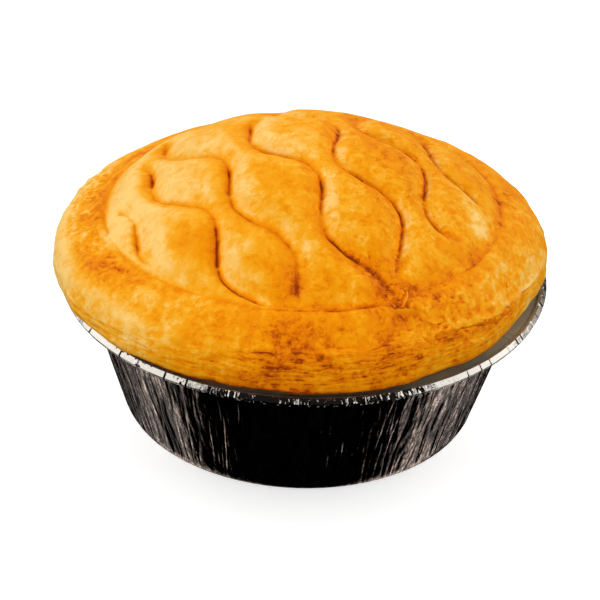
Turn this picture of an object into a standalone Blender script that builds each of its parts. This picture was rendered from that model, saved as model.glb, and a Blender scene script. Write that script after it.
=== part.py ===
"""Steak pie baked in its round foil tin.

Two pieces: the pressed foil tin, and the pie in it, which is one solid. The pie fills the tin, and its
puffed lid stands over the rim: a dome pressed with wavy lines inside a pressed ring, a sloping rim, and a
flaky side. The origin is the centre of the tin's flat base, +Z is up, and -Y is the front.
"""

import math
from collections import namedtuple

import bmesh
import bpy
import numpy as np
from mathutils import Vector, noise
from mathutils.geometry import delaunay_2d_cdt

# Foil tin, in metres.
BASE_RADIUS = 0.0481  # of the flat base; a small corner widens it to the foot of the wall
WALL_SLOPE = 0.285  # widening for each metre of height
FLANGE_HEIGHT = 0.0387
BEAD_CENTRE_RADIUS = 0.0644
BEAD_CENTRE_HEIGHT = 0.0384
BEAD_RADIUS = 0.0011
BEAD_POINTS = 7
FOIL_THICKNESS = 0.0006
BASE_CORNER_WIDTH = 0.0005
BASE_CORNER_HEIGHT = 0.0009
WRINKLE_DEPTH = 0.00017

# Clearance between the pie and the tin.
GAP = 0.0003

# Lid, measured from its own centre, which lies a little off the tin's.
LID_CENTRE = (-0.00065, -0.0013)
LID_TILT = 0.022  # rise per metre towards +X
RING_RADIUS = 0.0520
RING_OVALNESS = 0.012  # the ring is a little wider from side to side than from front to back
RING_HEIGHT = 0.0580
RING_HALF_WIDTH = 0.0013
RING_DEPTH = 0.0011
DOME_RISE = 0.0190
DOME_POWER = 1.17
EDGE_RADIUS = 0.0664
EDGE_HEIGHT = 0.0430
SHOULDER_WIDTH = 0.0060
SHOULDER_RISE = 0.0100
SHOULDER_START = math.radians(22)
RIM_CURVE = 1.5
UNDERCUT = 0.0024
UNDERCUT_DROP = 0.0026
FLANGE_COVER_RADIUS = 0.0616  # how far out the crust lies on the flange, inside the bead

# Where the edge of the lid is drawn in: azimuth and half width in degrees, depth in metres.
EDGE_DENTS = ((-25, 19, 0.0047), (-55, 14, 0.0024), (-101, 36, 0.0026))

# Pressed wavy lines. They run to the front right, side by side.
WAVE_HEADING = math.radians(-60.8)
WAVE_LENGTH = 0.0379
WAVE_HEIGHT = 0.0035
GROOVE_DEPTH = 0.0016
GROOVE_HALF_WIDTH = 0.0009
GROOVE_FADE = 0.0050
PILLOW_HEIGHT = 0.0014
PILLOW_WIDTH = 0.0045
Wave = namedtuple("Wave", "offset phase slope stretch swing start end")
WAVES = (
    Wave(-0.0478, 1.474, -0.005, 1.020, 0.70, -0.0190, 0.0110),
    Wave(-0.0346, 0.976, 0.023, 0.970, 0.88, -0.0310, 0.0500),
    Wave(-0.0229, 0.542, 0.005, 1.008, 0.88, -0.0380, 0.0500),
    Wave(-0.0072, 1.059, 0.034, 0.990, 1.07, -0.0240, 0.0550),
    Wave(0.0088, 0.509, -0.051, 1.013, 1.29, -0.0420, 0.0490),
    Wave(0.0240, 1.078, -0.015, 0.999, 1.16, -0.0200, 0.0400),
    Wave(0.0376, 0.532, -0.028, 1.000, 0.71, -0.0120, 0.0280),
)

# Flaky side: the seam under the lid is highest at the front, and the layers lie below it.
SEAM_LOW = 0.0455
SEAM_RISE = 0.0062
SEAM_AZIMUTH = math.radians(-78)
SEAM_SPREAD = math.radians(55)
SEAM_DEPTH = 0.0011
SEAM_HALF_ANGLE = math.radians(4.5)
LAYER_DEPTH = 0.0009

# Smooth unevenness: its height, the size of its bumps, and the place in the noise that it starts from.
Uneven = namedtuple("Uneven", "height size seed")
DOME_BUMPS = Uneven(0.0005, 0.012, 0)
RIM_BUMPS = Uneven(0.0005, 0.006, 5)
SIDE_BUMPS = Uneven(0.0003, 0.006, 17)
EDGE_BUMPS = Uneven(0.0004, 0.009, 21)
SEAM_BUMPS = Uneven(0.0007, 0.012, 11)
LAYER_BUMPS = Uneven(0.0009, 0.010, 13)
WRINKLE_BUMPS = Uneven(0.00014, 0.004, 3)
CRIMP_BUMPS = Uneven(0.00012, 0.003, 8)

# Mesh: divisions round the pie, and point spacing on the dome.
MERGE_DISTANCE = 1e-7
DIVISIONS = 120
SECTION_STEPS = 24
RIM_SHARES = (0.08, 0.20, 0.36, 0.52, 0.68, 0.84, 1.0)
LAYER_SHARES = (0.0, 0.14, 0.28, 0.42, 0.56, 0.70, 0.84, 1.0)
LINE_SPACING = 0.0023
LINE_ROWS = (-0.0013, 0.0013, -0.0034, 0.0034)
FIELD_SPACING = 0.0038
FIELD_CLEARANCE = 0.0023  # from the points of the grid to the rows
LEAST_SPACING = 0.0012
LIP_INSET = 0.0018  # first row of points inside the ring

PASTRY_COLOUR = (0.80, 0.40, 0.09, 1.0)
FOIL_COLOUR = (0.20, 0.19, 0.18, 1.0)


def remove_all_objects():
    for item in list(bpy.data.objects):
        bpy.data.objects.remove(item, do_unlink=True)


def principled(name, colour, roughness, metallic):
    material = bpy.data.materials.new(name)
    material.use_nodes = True
    shader = material.node_tree.nodes["Principled BSDF"]
    shader.inputs["Base Color"].default_value = colour
    shader.inputs["Roughness"].default_value = roughness
    shader.inputs["Metallic"].default_value = metallic
    return material


def add_object(name, bm, material):
    bmesh.ops.recalc_face_normals(bm, faces=bm.faces)
    bmesh.ops.triangulate(bm, faces=bm.faces)
    mesh = bpy.data.meshes.new(name)
    bm.to_mesh(mesh)
    bm.free()
    mesh.materials.append(material)
    mesh.shade_smooth()
    mesh.set_sharp_from_angle(angle=math.radians(40))
    item = bpy.data.objects.new(name, mesh)
    bpy.context.scene.collection.objects.link(item)
    return item


def mix(a, b, share):
    return a + (b - a) * share


def smoothstep(low, high, value):
    share = min(1.0, max(0.0, (value - low) / (high - low)))
    return share * share * (3 - 2 * share)


def bell(distance, half_width):
    return math.exp(-((distance / half_width) ** 2))


def azimuths():
    return [2 * math.pi * k / DIVISIONS for k in range(DIVISIONS)]


def turn_difference(a, b):
    return math.remainder(a - b, 2 * math.pi)


def uneven_at(place, bumps):
    return bumps.height * noise.noise(place / bumps.size + Vector((1, 1, 1)) * bumps.seed)


def uneven(azimuth, height, bumps):
    """Unevenness round the pie at this azimuth and height."""
    around = Vector((math.cos(azimuth), math.sin(azimuth), 0)) * EDGE_RADIUS
    return uneven_at(around + Vector((0, 0, height)), bumps)


# Foil tin


def tin_profile():
    """Radius, height and share of wrinkling: up the outside, round the bead and down the inside."""
    under = FLANGE_HEIGHT - FOIL_THICKNESS
    profile = [(BASE_RADIUS, 0.0, 0.0)]
    for share, wrinkling in ((0, 0.3), (0.25, 1), (0.5, 1), (0.75, 1), (1, 0.3)):
        height = mix(BASE_CORNER_HEIGHT, under, share)
        profile.append((wall_radius(height), height, wrinkling))
    bead_start = math.pi - math.asin((FLANGE_HEIGHT - BEAD_CENTRE_HEIGHT) / BEAD_RADIUS)
    for step in range(BEAD_POINTS):
        angle = mix(-bead_start, bead_start, step / (BEAD_POINTS - 1))
        radius = BEAD_CENTRE_RADIUS + BEAD_RADIUS * math.cos(angle)
        profile.append((radius, BEAD_CENTRE_HEIGHT + BEAD_RADIUS * math.sin(angle), 0.0))
    profile.append((wall_radius(FLANGE_HEIGHT) - FOIL_THICKNESS, FLANGE_HEIGHT, 0.0))
    inner_corner = BASE_CORNER_HEIGHT + FOIL_THICKNESS
    profile.append((wall_radius(inner_corner) - FOIL_THICKNESS, inner_corner, 0.0))
    profile.append((BASE_RADIUS - FOIL_THICKNESS, FOIL_THICKNESS, 0.0))
    return profile


def wall_radius(height):
    """Outer radius of the tin's wall."""
    return BASE_RADIUS + BASE_CORNER_WIDTH + WALL_SLOPE * (height - BASE_CORNER_HEIGHT)


def add_ring(bm, points):
    return [bm.verts.new(point) for point in points]


def join_rings(bm, first, second):
    count = len(first)
    for k in range(count):
        after = (k + 1) % count
        bm.faces.new((first[k], first[after], second[after], second[k]))


def close_ring(bm, ring, middle):
    centre = bm.verts.new(middle)
    count = len(ring)
    for k in range(count):
        bm.faces.new((ring[k], ring[(k + 1) % count], centre))


def make_tin(material):
    bm = bmesh.new()
    rings = []
    for number, (radius, height, wrinkling) in enumerate(tin_profile()):
        points = []
        for k, azimuth in enumerate(azimuths()):
            side = 1 if k % 2 else -1
            wrinkle = WRINKLE_DEPTH + uneven(azimuth, height, WRINKLE_BUMPS)
            reach = radius + side * wrinkle * wrinkling
            if height > FLANGE_HEIGHT or radius > BEAD_CENTRE_RADIUS:
                reach += uneven(azimuth, height, CRIMP_BUMPS)
            points.append((reach * math.cos(azimuth), reach * math.sin(azimuth), height))
        ring = add_ring(bm, points)
        if number:
            join_rings(bm, rings[-1], ring)
        rings.append(ring)
    close_ring(bm, rings[0], (0, 0, 0))
    close_ring(bm, rings[-1], (0, 0, FOIL_THICKNESS))
    return add_object("foil_tin", bm, material)


# Lid


def wave_offset(wave, along):
    turns = along / (WAVE_LENGTH * wave.stretch) - wave.phase
    swing = WAVE_HEIGHT * wave.swing * math.sin(2 * math.pi * turns)
    return wave.offset + wave.slope * along + swing


def wave_steepness(wave, along):
    turns = along / (WAVE_LENGTH * wave.stretch) - wave.phase
    rate = 2 * math.pi / (WAVE_LENGTH * wave.stretch)
    return wave.slope + WAVE_HEIGHT * wave.swing * rate * math.cos(2 * math.pi * turns)


def lid_point(along, across):
    """Place on the lid of a point measured along and across the waves."""
    cos, sin = math.cos(WAVE_HEADING), math.sin(WAVE_HEADING)
    return along * cos - across * sin, along * sin + across * cos


def wave_axes(x, y):
    cos, sin = math.cos(WAVE_HEADING), math.sin(WAVE_HEADING)
    return x * cos + y * sin, -x * sin + y * cos


def wave_strengths(x, y):
    """Distance to each wave, and how much of its depth it keeps there."""
    along, across = wave_axes(x, y)
    for wave in WAVES:
        here = min(wave.end, max(wave.start, along))
        run = (across - wave_offset(wave, here)) / math.hypot(1, wave_steepness(wave, here))
        distance = math.hypot(run, along - here)
        kept = smoothstep(wave.start - GROOVE_FADE / 2, wave.start + GROOVE_FADE, along)
        kept *= smoothstep(wave.end + GROOVE_FADE / 2, wave.end - GROOVE_FADE, along)
        yield distance, kept


def pressing(x, y):
    """Depth of the pressed lines, less the height that the dough between them has puffed up."""
    ring_distance = ring_radius(math.atan2(y, x)) - math.hypot(x, y)
    groove = RING_DEPTH * bell(ring_distance, RING_HALF_WIDTH)
    valley = bell(ring_distance, PILLOW_WIDTH)
    for distance, kept in wave_strengths(x, y):
        groove = max(groove, GROOVE_DEPTH * kept * bell(distance, GROOVE_HALF_WIDTH))
        valley = max(valley, kept * bell(distance, PILLOW_WIDTH))
    return groove - PILLOW_HEIGHT * (1 - valley)


def dome_height(x, y):
    share = math.hypot(x, y) / ring_radius(math.atan2(y, x))
    dome = DOME_RISE * max(0.0, 1 - share**2) ** DOME_POWER
    return RING_HEIGHT + dome - pressing(x, y) + uneven_at(Vector((x, y, 0)), DOME_BUMPS)


def thin_out(points, kept, spacing):
    """Points that lie at least a spacing apart, and from those already kept."""
    for point in points:
        if all((point - other).length > spacing for other in kept):
            kept.append(point)


def ring_radius(azimuth):
    return RING_RADIUS * (1 + RING_OVALNESS * math.cos(2 * azimuth))


def ring_points(inset):
    radii = [ring_radius(a) - inset for a in azimuths()]
    return [Vector((r * math.cos(a), r * math.sin(a))) for a, r in zip(azimuths(), radii)]


def row_points(wave, aside):
    """Points along a wave, or along a row beside it."""
    count = round((wave.end - wave.start) / LINE_SPACING)
    for k in range(count + 1):
        along = mix(wave.start, wave.end, k / count)
        steep = wave_steepness(wave, along)
        size = math.hypot(1, steep)
        place = lid_point(along - aside * steep / size, wave_offset(wave, along) + aside / size)
        yield Vector(place)


def field_points():
    """Points of a triangular grid."""
    reach = math.ceil(RING_RADIUS / FIELD_SPACING) + 1
    for i in range(-reach, reach + 1):
        for j in range(-reach, reach + 1):
            yield Vector(((i + 0.5 * (j % 2)) * FIELD_SPACING, j * FIELD_SPACING * math.sqrt(0.75)))


def dome_plan():
    """Points and triangles of the dome in plan, with rows of points along each pressed line."""

    def inside(candidates):
        room = LIP_INSET + LEAST_SPACING / 2
        return [p for p in candidates if ring_radius(math.atan2(p.y, p.x)) - p.length > room]

    points = ring_points(0) + ring_points(LIP_INSET)
    edges = []
    for wave in WAVES:
        line = inside(row_points(wave, 0))
        edges += [(len(points) + k, len(points) + k + 1) for k in range(len(line) - 1)]
        points += line
    for wave in WAVES:
        for row in LINE_ROWS:
            thin_out(inside(row_points(wave, row)), points, LEAST_SPACING)
    thin_out(inside(field_points()), points, FIELD_CLEARANCE)
    border = [list(range(DIVISIONS))]
    inside_border = 1
    result = delaunay_2d_cdt(points, edges, border, inside_border, MERGE_DISTANCE)
    return result[0], result[2]


def edge_radius(azimuth):
    radius = EDGE_RADIUS + uneven(azimuth, 0, EDGE_BUMPS)
    for centre, half_width, depth in EDGE_DENTS:
        away = turn_difference(azimuth, math.radians(centre))
        radius -= depth * bell(away, math.radians(half_width))
    return radius


def seam_angle(azimuth):
    away = turn_difference(azimuth, SEAM_AZIMUTH)
    height = SEAM_LOW + SEAM_RISE * bell(away, SEAM_SPREAD)
    return math.acos((height - EDGE_HEIGHT) / SHOULDER_RISE)


def side_point(azimuth, angle):
    """Radius and height on the side: a quarter ellipse from the shoulder to the edge, then the undercut."""
    edge = edge_radius(azimuth)
    if angle < math.pi / 2:
        radius = edge - SHOULDER_WIDTH * (1 - math.sin(angle))
        return radius, EDGE_HEIGHT + SHOULDER_RISE * math.cos(angle)
    radius = edge - UNDERCUT * (1 - math.sin(angle))
    return radius, EDGE_HEIGHT + UNDERCUT_DROP * math.cos(angle)


def rim_point(azimuth, share):
    """Radius and height on the sloping rim, from the ring to the shoulder."""
    shoulder_radius, shoulder_height = side_point(azimuth, SHOULDER_START)
    ring = ring_radius(azimuth)
    radius = mix(ring, shoulder_radius, share)
    height = mix(RING_HEIGHT, shoulder_height, share**RIM_CURVE)
    return radius, height - RING_DEPTH * bell(radius - ring, RING_HALF_WIDTH)


def spaced(points, shares):
    """Points at the given shares of a section's length."""
    section = np.array(points)
    steps = np.hypot(*np.diff(section, axis=0).T)
    length = np.concatenate(([0], np.cumsum(steps))) / steps.sum()
    return [(np.interp(s, length, section[:, 0]), np.interp(s, length, section[:, 1])) for s in shares]


def crust_section(azimuth):
    """Radius and height from the first place outside the ring, over the seam, to the end of the undercut."""
    seam = seam_angle(azimuth)
    lip = seam - SEAM_HALF_ANGLE
    first_layer = seam + SEAM_HALF_ANGLE
    shares = [k / SECTION_STEPS for k in range(SECTION_STEPS + 1)]
    top = [rim_point(azimuth, share) for share in shares[:-1]]
    top += [side_point(azimuth, mix(SHOULDER_START, lip, share)) for share in shares]
    side = [side_point(azimuth, mix(first_layer, math.pi, share)) for share in shares]
    section = []
    for radius, height in spaced(top, RIM_SHARES):
        section.append((radius, height + uneven(azimuth, radius, RIM_BUMPS)))
    radius, height = side_point(azimuth, seam)
    depth = SEAM_DEPTH + uneven(azimuth, height, SEAM_BUMPS)
    section.append((radius - depth, height - depth / 2))
    for number, (radius, height) in enumerate(spaced(side, LAYER_SHARES)):
        inset = (number % 2) * (LAYER_DEPTH / 2 + uneven(azimuth, height, LAYER_BUMPS))
        shift = uneven(azimuth, height, SIDE_BUMPS)
        section.append((radius - inset + shift, height + shift))
    return section


def tilted(x, y, height):
    """Place in the tin's frame of a point of the lid, whose upper parts rise towards +X."""
    share = smoothstep(EDGE_HEIGHT - UNDERCUT_DROP, RING_HEIGHT, height)
    return x + LID_CENTRE[0], y + LID_CENTRE[1], height + LID_TILT * x * share


def lid_place(azimuth, radius, height):
    return tilted(radius * math.cos(azimuth), radius * math.sin(azimuth), height)


def body_rings():
    """Rings of the underside of the crust and of the pie in the tin, from the crust's edge to the base."""
    skin = FOIL_THICKNESS + GAP / math.cos(math.atan(WALL_SLOPE))
    neck = wall_radius(FLANGE_HEIGHT) - skin
    underside = []
    for azimuth in azimuths():
        x, y, _ = lid_place(azimuth, edge_radius(azimuth) - UNDERCUT, EDGE_HEIGHT)
        half_way = mix(neck, math.hypot(x, y), 0.5)
        underside.append(min(FLANGE_COVER_RADIUS, half_way))
    rings = [[(radius, FLANGE_HEIGHT + GAP) for radius in underside]]
    corner = BASE_CORNER_HEIGHT + FOIL_THICKNESS + GAP
    plain = (
        (neck, FLANGE_HEIGHT + GAP),
        (wall_radius(corner) - skin, corner),
        (BASE_RADIUS - skin, FOIL_THICKNESS + GAP),
    )
    rings += [[point] * DIVISIONS for point in plain]
    return rings


def make_pie(material):
    bm = bmesh.new()
    points, triangles = dome_plan()
    dome = [bm.verts.new(tilted(p.x, p.y, dome_height(p.x, p.y))) for p in points]
    for triangle in triangles:
        bm.faces.new([dome[k] for k in triangle])
    last = dome[:DIVISIONS]
    sections = [crust_section(azimuth) for azimuth in azimuths()]
    for number in range(len(sections[0])):
        places = [lid_place(a, *section[number]) for a, section in zip(azimuths(), sections)]
        ring = add_ring(bm, places)
        join_rings(bm, last, ring)
        last = ring
    for body in body_rings():
        ring = add_ring(bm, [(r * math.cos(a), r * math.sin(a), z) for a, (r, z) in zip(azimuths(), body)])
        join_rings(bm, last, ring)
        last = ring
    close_ring(bm, last, (0, 0, FOIL_THICKNESS + GAP))
    return add_object("pie", bm, material)


def main():
    remove_all_objects()
    make_tin(principled("foil", FOIL_COLOUR, 0.35, 1.0))
    make_pie(principled("pastry", PASTRY_COLOUR, 0.55, 0.0))


main()
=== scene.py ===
"""Steak pie in its foil tin: baked lid with pressed waves, flaky rim and side, creased foil."""

import math
from collections import namedtuple

import bpy
import numpy as np
from mathutils import Matrix, Vector, noise
from mathutils.bvhtree import BVHTree


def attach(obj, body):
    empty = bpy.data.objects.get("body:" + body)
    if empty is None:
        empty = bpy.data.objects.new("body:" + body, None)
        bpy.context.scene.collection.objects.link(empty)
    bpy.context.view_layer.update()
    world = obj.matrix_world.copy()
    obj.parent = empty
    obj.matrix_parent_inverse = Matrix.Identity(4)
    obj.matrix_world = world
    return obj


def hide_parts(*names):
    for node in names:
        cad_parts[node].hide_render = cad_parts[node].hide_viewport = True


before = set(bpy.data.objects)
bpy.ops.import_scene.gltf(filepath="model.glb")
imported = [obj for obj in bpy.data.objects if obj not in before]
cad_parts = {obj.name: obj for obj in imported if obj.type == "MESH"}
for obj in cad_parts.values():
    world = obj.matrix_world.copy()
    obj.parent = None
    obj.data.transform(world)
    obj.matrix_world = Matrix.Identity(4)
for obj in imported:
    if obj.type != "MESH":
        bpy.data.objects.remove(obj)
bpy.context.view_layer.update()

MM = 0.001

# Camera at the photograph's angle, and what the lights point at.
CAMERA_ELEVATION = math.radians(33.852)
CAMERA_DISTANCE = 0.65
CAMERA_AIM = Vector((-0.00059, 0, 0.0281))
CAMERA_ROLL = math.radians(2.402)
CAMERA_LENS = 139.66
SENSOR = 36.0
LIGHTS_AIM = Vector((0, 0, 0.05))
FLOOR_SIZE = 40.0

# Lid, measured from its own centre.
LID_CENTRE = (-0.00065, -0.0013)
LID_TILT = 0.022
RING_RADIUS = 0.0520
RING_OVALNESS = 0.012
RING_HEIGHT = 0.0580
RING_HALF_WIDTH = 0.0009
RING_DEPTH = 0.0011
LINE_HALF_WIDTH = 0.00045
MOAT_DEPTH = 0.0011
MOAT_OFFSET = 0.0030
MOAT_WIDTH = 0.0027
DOME_RISE = 0.0190
DOME_POWER = 1.17
EDGE_RADIUS = 0.0664
EDGE_HEIGHT = 0.0430
SHOULDER_WIDTH = 0.0060
SHOULDER_RISE = 0.0100
SHOULDER_START = math.radians(22)
RIM_CURVE = 1.5
UNDERCUT = 0.0024
UNDERCUT_DROP = 0.0026
EDGE_DENTS = ((-25, 19, 0.0039), (-55, 14, 0.0024), (-101, 36, 0.0026))

# Pressed wavy lines.
WAVE_HEADING = math.radians(-60.8)
WAVE_LENGTH = 0.0379
WAVE_HEIGHT = 0.0035
GROOVE_DEPTH = 0.0014
GROOVE_FADE = 0.0050
FIRM_FADE = 0.0020
PILLOW_HEIGHT = 0.0021
PILLOW_WIDTH = 0.0032
PILLOW_DROP = 0.0003
# Painted shade beside each pressed line: how far off it lies and how wide it is.
SHADED_FLANK_OFFSET = 0.0007
SHADED_FLANK_WIDTH = 0.0010
# The last value lists the stretches that were pressed firmly: start and end in millimetres, and how firmly.
Wave = namedtuple("Wave", "offset phase slope stretch swing start end firm")
WAVES = (
    Wave(-0.0478, 1.474, -0.005, 1.020, 0.70, -0.0190, 0.0110,
         ((-7, 3, 1.0),)),
    Wave(-0.0346, 0.976, 0.023, 0.970, 0.88, -0.0310, 0.0440,
         ((-26, -17, 1.0), (-13, 1, 0.4), (13, 23, 0.9), (24, 39, 0.8))),
    Wave(-0.0229, 0.542, 0.005, 1.008, 0.88, -0.0400, 0.0450,
         ((-39, -35, 0.7), (-4, 6, 0.9), (8, 19, 0.5), (23, 30, 0.4))),
    Wave(-0.0072, 1.059, 0.034, 0.990, 1.07, -0.0240, 0.0520,
         ((-22, -10, 0.6), (-4, 4, 0.5), (14, 24, 0.9), (30, 40, 0.9))),
    Wave(0.0088, 0.509, -0.051, 1.013, 1.29, -0.0420, 0.0490,
         ((-9, 8, 0.5), (15, 25, 0.55), (26, 42, 1.0))),
    Wave(0.0240, 1.078, -0.015, 0.999, 1.16, -0.0200, 0.0400,
         ((13, 26, 0.8), (28, 37, 0.6))),
    Wave(0.0376, 0.532, -0.028, 1.000, 0.71, -0.0120, 0.0280,
         ((-6, 11, 0.8), (14, 25, 0.6))),
)

# Seam under the lid, and the leaves of pastry below it. The azimuth and the spread are in degrees.
SEAM_LOW = 0.0455
SEAM_RISE = 0.0062
SEAM_AZIMUTH = -78
SEAM_SPREAD = 55
SEAM_HALF_ANGLE = math.radians(2.4)
SEAM_DEPTH = 0.00032
LIP_HEIGHT = 0.0004
LEAF_PITCH = 0.00120
LEAF_PUSH = 0.00020
LEAF_GAP = 0.00014

# Height of the small relief, and the hollow depth that gets the full painted shade in the crust's hollows.
RIM_UNEVENNESS = 0.0005
SIDE_UNEVENNESS = 0.0004
SIDE_ROUGHNESS = 0.00014
CREST_HEIGHT = 0.00050
HOLLOW_SHADE_DEPTH = 0.00045
HOLLOW_SMOOTHINGS = 6

# Parts of the rim that flake most: middle and half width in degrees.
FLAKY_PARTS = ((-174, 32), (-58, 14), (-6, 20))

# Mesh of the crust.
DOME_CELLS = 152
REFINED_WIDTH = 0.0012
RIM_ROWS = 26
SEAM_ROWS = 2
SIDE_ROWS = 28
ROW_STEP = 0.001
DOME, RIM, SIDE, BODY = range(4)

# Foil tin.
BASE_RADIUS = 0.0481
BASE_CORNER_WIDTH = 0.0005
BASE_CORNER_HEIGHT = 0.0009
WALL_SLOPE = 0.285
FLANGE_HEIGHT = 0.0387
BEAD_CENTRE_RADIUS = 0.0644
BEAD_CENTRE_HEIGHT = 0.0384
BEAD_RADIUS = 0.00122
BEAD_CORNERS = tuple(math.radians(a) for a in (-118, -45, 0, 76))
FOIL_THICKNESS = 0.0005
FOIL_DIVISIONS = 1880
FOIL_WALL_ROWS = 24
CREASING_RADIUS = 0.055
ON_BEAD = 2.0
ON_FLANGE = 3.0

# Relief of the foil: long and short creases, the panels between them, and notches and ticks of the bead.
LONG_CREASE = 0.00036
SHORT_CREASE = 0.00022
PANEL_SWELL = 0.00011
WIDE_PANEL = 0.00027
NARROW_PANEL = 0.00011
NOTCH_DEPTH = 0.00042
TICK_DEPTH = 0.00022

# Single creases of the smooth front: azimuths of the two ends in degrees, heights in millimetres.
Crease = namedtuple("Crease", "head foot high low")
CREASES = (
    Crease(-110, -111.5, 23, 3),
    Crease(-105.5, -106, 30, 23),
    Crease(-97, -96, 31, 28),
    Crease(-88.5, -90, 21, 10),
    Crease(-88.5, -87.5, 14, 9),
    Crease(-81, -80.5, 22, 17),
    Crease(-77, -77, 18, 12),
    Crease(-73, -70.5, 30, 14),
    Crease(-64.5, -66.5, 31, 13),
    Crease(-62, -62.5, 23, 7),
)
CREASE_DEPTH = 0.00026
CREASE_WIDTH = 0.00024

# Pie inside the tin: rows of its underside, wall and bottom, each with radius and height.
PIE_INSET = FOIL_THICKNESS + 0.0006
UNDERSIDE_RADIUS = 0.0605
UNDERSIDE_HEIGHT = FLANGE_HEIGHT + 0.0004
PIE_BOTTOM = 0.0012
BODY_ROWS = (
    (UNDERSIDE_RADIUS, UNDERSIDE_HEIGHT),
    (BASE_RADIUS + WALL_SLOPE * FLANGE_HEIGHT - PIE_INSET, UNDERSIDE_HEIGHT),
    (BASE_RADIUS + 0.0006 - PIE_INSET, 0.0030),
    (BASE_RADIUS - 0.0010 - PIE_INSET, PIE_BOTTOM),
)


# Selecting and shaping


def deselect_all():
    bpy.ops.object.select_all(action="DESELECT")


def edit(select="SELECT"):
    bpy.ops.object.mode_set(mode="EDIT")
    bpy.ops.mesh.select_all(action=select)


def stop_editing():
    bpy.ops.object.mode_set(mode="OBJECT")


def select_only(item):
    deselect_all()
    item.select_set(True)
    bpy.context.view_layer.objects.active = item


def vectors(item, kind):
    flat = np.zeros(len(item.data.vertices) * 3)
    item.data.vertices.foreach_get(kind, flat)
    return flat.reshape(-1, 3)


def places(item):
    return vectors(item, "co")


def surface_normals(item):
    return vectors(item, "normal")


def move_to(item, points):
    item.data.vertices.foreach_set("co", np.asarray(points, dtype=np.float32).ravel())
    item.data.update()


def keep_value(item, name, values):
    layer = item.data.attributes.new(name, "FLOAT", "POINT")
    layer.data.foreach_set("value", np.asarray(values, dtype=np.float32))


def stack_rows(count):
    """Extrudes the border of the active mesh upwards in rows, and closes it with a single point."""
    edit()
    bpy.ops.mesh.region_to_loop()
    for _ in range(count + 1):
        bpy.ops.mesh.extrude_region_move(TRANSFORM_OT_translate={"value": (0, 0, ROW_STEP)})
    bpy.ops.mesh.merge(type="CENTER")
    stop_editing()


# Numbers that the shapes share


def mix(a, b, share):
    return a + (b - a) * share


def smoothstep(low, high, value):
    share = np.clip((value - low) / (high - low), 0, 1)
    return share * share * (3 - 2 * share)


def bell(distance, half_width):
    return np.exp(-((distance / half_width) ** 2))


def along_across(x, y, angle):
    """Places along a direction and across it."""
    cos, sin = math.cos(angle), math.sin(angle)
    return x * cos + y * sin, y * cos - x * sin


def turn_difference(a, b):
    return np.remainder(a - b + math.pi, 2 * math.pi) - math.pi


def bell_at(azimuth, centre, half_width):
    """A bell around the pie, with its centre and half width in degrees."""
    return bell(turn_difference(azimuth, math.radians(centre)), math.radians(half_width))


def window(value, start, end, fade):
    """1 from start to end and 0 outside, with soft ends."""
    return smoothstep(start - fade, start + fade, value) * (1 - smoothstep(end - fade, end + fade, value))


def window_at(azimuth, centre, start, end, fade):
    """A window around the pie, in degrees, with its start and end counted from the centre."""
    away = turn_difference(azimuth, math.radians(centre))
    return window(away, math.radians(start), math.radians(end), math.radians(fade))


def bumps(points, size, seed):
    """Smooth noise between -1 and 1 at each point, with bumps of this size, which may differ by axis."""
    scaled = np.asarray(points) / size + seed
    return np.array([noise.noise(Vector(p)) for p in scaled])


def crags(points, size, seed, octaves=4):
    scaled = np.asarray(points) / size + seed
    return np.array([noise.fractal(Vector(p), 0.8, 2.1, octaves) for p in scaled])


# Shape of the lid


def ring_radius(azimuth):
    return RING_RADIUS * (1 + RING_OVALNESS * np.cos(2 * azimuth))


def around(azimuth, radius=EDGE_RADIUS, height=0.0):
    """Points around the middle, at the lid's edge where no radius is given."""
    x, y = np.cos(azimuth) * radius, np.sin(azimuth) * radius
    return np.stack([x, y, height + 0 * azimuth], axis=-1)


def wave_run(wave, along):
    """Where the wave runs at each place along it, and how steeply."""
    length = WAVE_LENGTH * wave.stretch
    swing = WAVE_HEIGHT * wave.swing
    angle = 2 * math.pi * (along / length - wave.phase)
    run = wave.offset + wave.slope * along + swing * np.sin(angle)
    return run, wave.slope + swing * (2 * math.pi / length) * np.cos(angle)


def firmness(wave, along):
    """How firmly a wave was pressed at each place along it."""
    firm = np.full_like(along, 0.05)
    for start, end, strength in wave.firm:
        firm = np.maximum(firm, strength * window(along, start * MM, end * MM, FIRM_FADE))
    marks = np.stack([along, 0 * along + wave.offset, 0 * along], axis=-1)
    return firm * np.clip(0.95 + 0.4 * bumps(marks, 0.0050, 19), 0.3, 1.2)


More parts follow.
